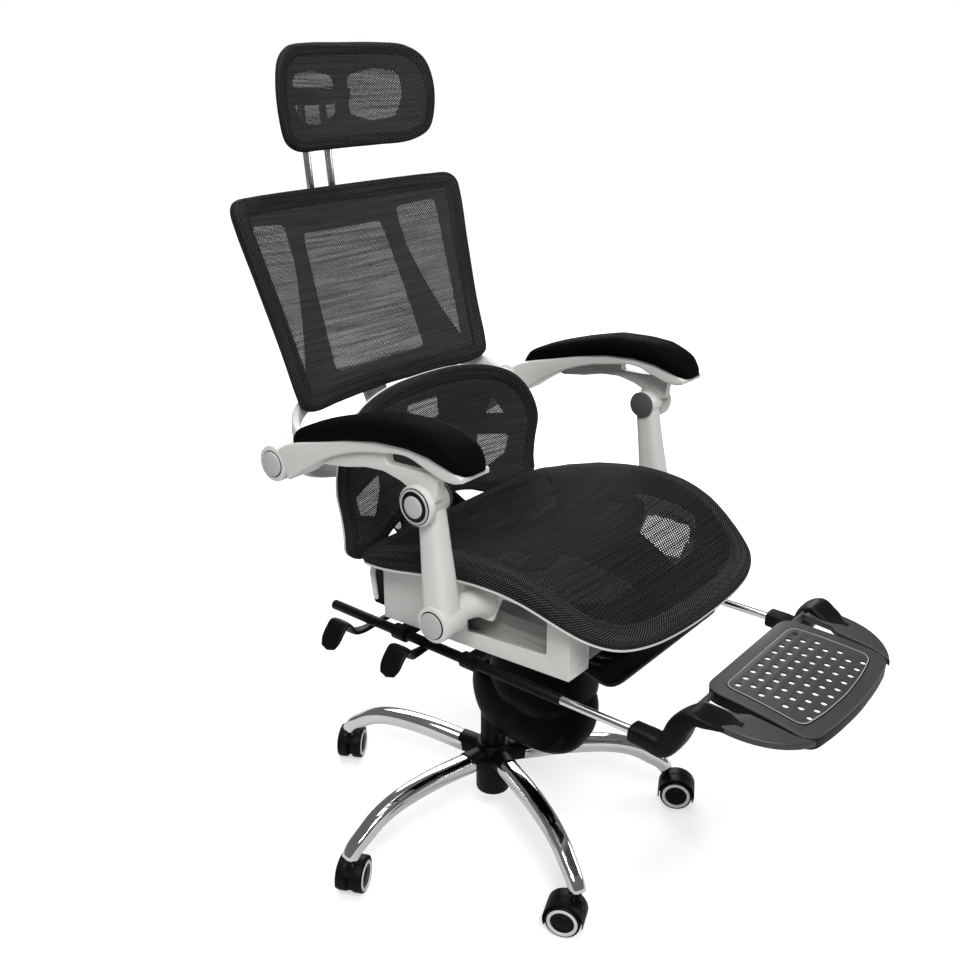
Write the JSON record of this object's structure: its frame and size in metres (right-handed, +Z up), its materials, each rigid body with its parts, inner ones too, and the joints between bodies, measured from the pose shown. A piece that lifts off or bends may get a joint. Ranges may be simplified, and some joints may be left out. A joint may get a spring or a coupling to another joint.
{
  "type": "office chair",
  "caption": "Reclining mesh office chair with headrest, lumbar cushion, linked armrests, pull-out footrest and a five-leg base on twin-wheel casters",
  "frame": {"origin": "middle of the chair's footprint on the floor, with the footrest pulled out", "axes": "+Z is up, -Y is the way the sitter faces and +X is the sitter's left"},
  "size_m": [0.6534, 1.0247, 1.3083],
  "materials": {
    "white_plastic": "satin warm light grey moulded plastic",
    "black_plastic": "fine-grained black plastic",
    "gloss_black": "glossy black plastic",
    "grey_pad": "matte dark grey plastic",
    "mesh_fabric": "stretched knitted black mesh",
    "arm_pad_foam": "matte black skinned foam",
    "cap_grey": "satin mid grey plastic",
    "chrome": "bright plated steel",
    "steel": "plain steel",
    "wheel_black": "black nylon tread with a grey hub ring"
  },
  "bodies": {
    "base": {"base_hub": "black_plastic", "gas_tube": "steel", "base_leg_1": "chrome", "base_leg_2": "chrome", "base_leg_3": "chrome", "base_leg_4": "chrome", "base_leg_5": "chrome"},
    "lift": {"gas_piston": "chrome"},
    "seat": {"tilt_mechanism": "black_plastic", "mechanism_cover": "gloss_black", "front_tray": "black_plastic", "rear_yoke": "black_plastic", "recline_pin": "steel", "seat_shell": "white_plastic", "seat_frame": "black_plastic", "seat_mesh": "mesh_fabric", "footrest_rail_left": "black_plastic", "footrest_rail_right": "black_plastic", "post_foot_cap_left": "cap_grey", "post_foot_cap_right": "cap_grey"},
    "back": {"recline_bracket": "black_plastic", "back_frame": "white_plastic", "upper_back_frame": "black_plastic", "upper_back_mesh": "mesh_fabric", "headrest_receiver": "black_plastic", "lumbar_hinge": "black_plastic"},
    "lumbar": {"lumbar_frame": "white_plastic", "lumbar_mesh": "mesh_fabric"},
    "headrest_lift": {"headrest_post_left": "chrome", "headrest_post_right": "chrome", "headrest_bracket": "black_plastic"},
    "headrest": {"headrest_frame": "black_plastic", "headrest_mesh": "mesh_fabric"},
    "post_left": {"arm_post_left": "white_plastic"},
    "post_right": {"arm_post_right": "white_plastic"},
    "arm_left": {"armrest_frame_left": "white_plastic", "armrest_pad_left": "arm_pad_foam", "front_pivot_cap_left": "cap_grey", "rear_pivot_cap_left": "cap_grey"},
    "arm_right": {"armrest_frame_right": "white_plastic", "armrest_pad_right": "arm_pad_foam", "front_pivot_cap_right": "cap_grey", "rear_pivot_cap_right": "cap_grey"},
    "footrest": {"footrest_rod_left": "chrome", "footrest_rod_right": "chrome", "footrest_arm_left": "black_plastic", "footrest_arm_right": "black_plastic"},
    "foot_panel": {"footrest_pad": "grey_pad"},
    "height_lever": {"height_lever": "gloss_black"},
    "tilt_lever": {"tilt_lever": "gloss_black"},
    "caster_1": {"caster_hood_1": "black_plastic"},
    "wheels_1": {"caster_wheels_1": "wheel_black"},
    "caster_2": {"caster_hood_2": "black_plastic"},
    "wheels_2": {"caster_wheels_2": "wheel_black"},
    "caster_3": {"caster_hood_3": "black_plastic"},
    "wheels_3": {"caster_wheels_3": "wheel_black"},
    "caster_4": {"caster_hood_4": "black_plastic"},
    "wheels_4": {"caster_wheels_4": "wheel_black"},
    "caster_5": {"caster_hood_5": "black_plastic"},
    "wheels_5": {"caster_wheels_5": "wheel_black"}
  },
  "joints": [
    {"name": "seat_lift", "type": "slide", "parent": "base", "child": "lift", "axis": [0, 0, 1], "range_m": [-0.03, 0.06]},
    {"name": "seat_swivel", "type": "hinge", "parent": "lift", "child": "seat", "pos_m": [0.01, 0.115, 0.446], "axis": [0, 0, 1], "continuous": true},
    {"name": "back_recline", "type": "hinge", "parent": "seat", "child": "back", "pos_m": [0.01, 0.264, 0.558], "axis": [-1, 0, 0], "range_deg": [0, 32]},
    {"name": "arm_post_tilt_left", "type": "hinge", "parent": "seat", "child": "post_left", "pos_m": [0.291, -0.02, 0.565], "axis": [-1, 0, 0], "range_deg": [0, 32]},
    {"name": "armrest_level_left", "type": "hinge", "parent": "post_left", "child": "arm_left", "pos_m": [0.291, 0.004, 0.737], "axis": [-1, 0, 0], "range_deg": [-32, 0]},
    {"name": "arm_post_tilt_right", "type": "hinge", "parent": "seat", "child": "post_right", "pos_m": [-0.271, -0.02, 0.565], "axis": [-1, 0, 0], "range_deg": [0, 32]},
    {"name": "armrest_level_right", "type": "hinge", "parent": "post_right", "child": "arm_right", "pos_m": [-0.271, 0.004, 0.737], "axis": [-1, 0, 0], "range_deg": [-32, 0]},
    {"name": "lumbar_tilt", "type": "hinge", "parent": "back", "child": "lumbar", "pos_m": [0.01, 0.296, 0.67], "axis": [1, 0, 0], "range_deg": [-3, 4], "stiffness_Nm_per_rad": 40},
    {"name": "headrest_height", "type": "slide", "parent": "back", "child": "headrest_lift", "axis": [0, 0.1045, 0.9945], "range_m": [-0.03, 0.04]},
    {"name": "headrest_tilt", "type": "hinge", "parent": "headrest_lift", "child": "headrest", "pos_m": [0.01, 0.47, 1.232], "axis": [1, 0, 0], "range_deg": [-15, 25]},
    {"name": "footrest_slide", "type": "slide", "parent": "seat", "child": "footrest", "axis": [0, 1, 0], "range_m": [0, 0.105]},
    {"name": "foot_panel_tilt", "type": "hinge", "parent": "footrest", "child": "foot_panel", "pos_m": [0.01, -0.355, 0.497], "axis": [1, 0, 0], "range_deg": [-10, 70]},
    {"name": "height_lever_lift", "type": "hinge", "parent": "seat", "child": "height_lever", "pos_m": [-0.078, 0.11, 0.426], "axis": [0, 1, 0], "range_deg": [0, 5], "stiffness_Nm_per_rad": 0.8, "springref_deg": -9.74},
    {"name": "tilt_lever_lift", "type": "hinge", "parent": "seat", "child": "tilt_lever", "pos_m": [-0.078, 0.226, 0.426], "axis": [0, 1, 0], "range_deg": [0, 5], "stiffness_Nm_per_rad": 0.8, "springref_deg": -9.74},
    {"name": "caster_swivel_1", "type": "hinge", "parent": "base", "child": "caster_1", "pos_m": [0.29461, 0.26127, 0.062], "axis": [0, 0, 1], "continuous": true},
    {"name": "wheel_spin_1", "type": "hinge", "parent": "caster_1", "child": "wheels_1", "pos_m": [0.28461, 0.27859, 0.029], "axis": [0.866, 0.5, 0], "continuous": true},
    {"name": "caster_swivel_2", "type": "hinge", "parent": "base", "child": "caster_2", "pos_m": [-0.04116, 0.43088, 0.062], "axis": [0, 0, 1], "continuous": true},
    {"name": "wheel_spin_2", "type": "hinge", "parent": "caster_2", "child": "wheels_2", "pos_m": [-0.02384, 0.44088, 0.029], "axis": [0.5, -0.866, 0], "continuous": true},
    {"name": "caster_swivel_3", "type": "hinge", "parent": "base", "child": "caster_3", "pos_m": [-0.30623, 0.16395, 0.062], "axis": [0, 0, 1], "continuous": true},
    {"name": "wheel_spin_3", "type": "hinge", "parent": "caster_3", "child": "wheels_3", "pos_m": [-0.28811, 0.17241, 0.029], "axis": [0.4226, -0.9063, 0], "continuous": true},
    {"name": "caster_swivel_4", "type": "hinge", "parent": "base", "child": "caster_4", "pos_m": [-0.13428, -0.17063, 0.062], "axis": [0, 0, 1], "continuous": true},
    {"name": "wheel_spin_4", "type": "hinge", "parent": "caster_4", "child": "wheels_4", "pos_m": [-0.14177, -0.15208, 0.029], "axis": [0.9272, 0.3746, 0], "continuous": true},
    {"name": "caster_swivel_5", "type": "hinge", "parent": "base", "child": "caster_5", "pos_m": [0.23706, -0.11048, 0.062], "axis": [0, 0, 1], "continuous": true},
    {"name": "wheel_spin_5", "type": "hinge", "parent": "caster_5", "child": "wheels_5", "pos_m": [0.24645, -0.12814, 0.029], "axis": [-0.8829, -0.4695, 0], "continuous": true}
  ],
  "couplings": [
    {"joint": "arm_post_tilt_left", "follows": "back_recline", "ratio": 1},
    {"joint": "armrest_level_left", "follows": "back_recline", "ratio": -1},
    {"joint": "arm_post_tilt_right", "follows": "back_recline", "ratio": 1},
    {"joint": "armrest_level_right", "follows": "back_recline", "ratio": -1}
  ]
}
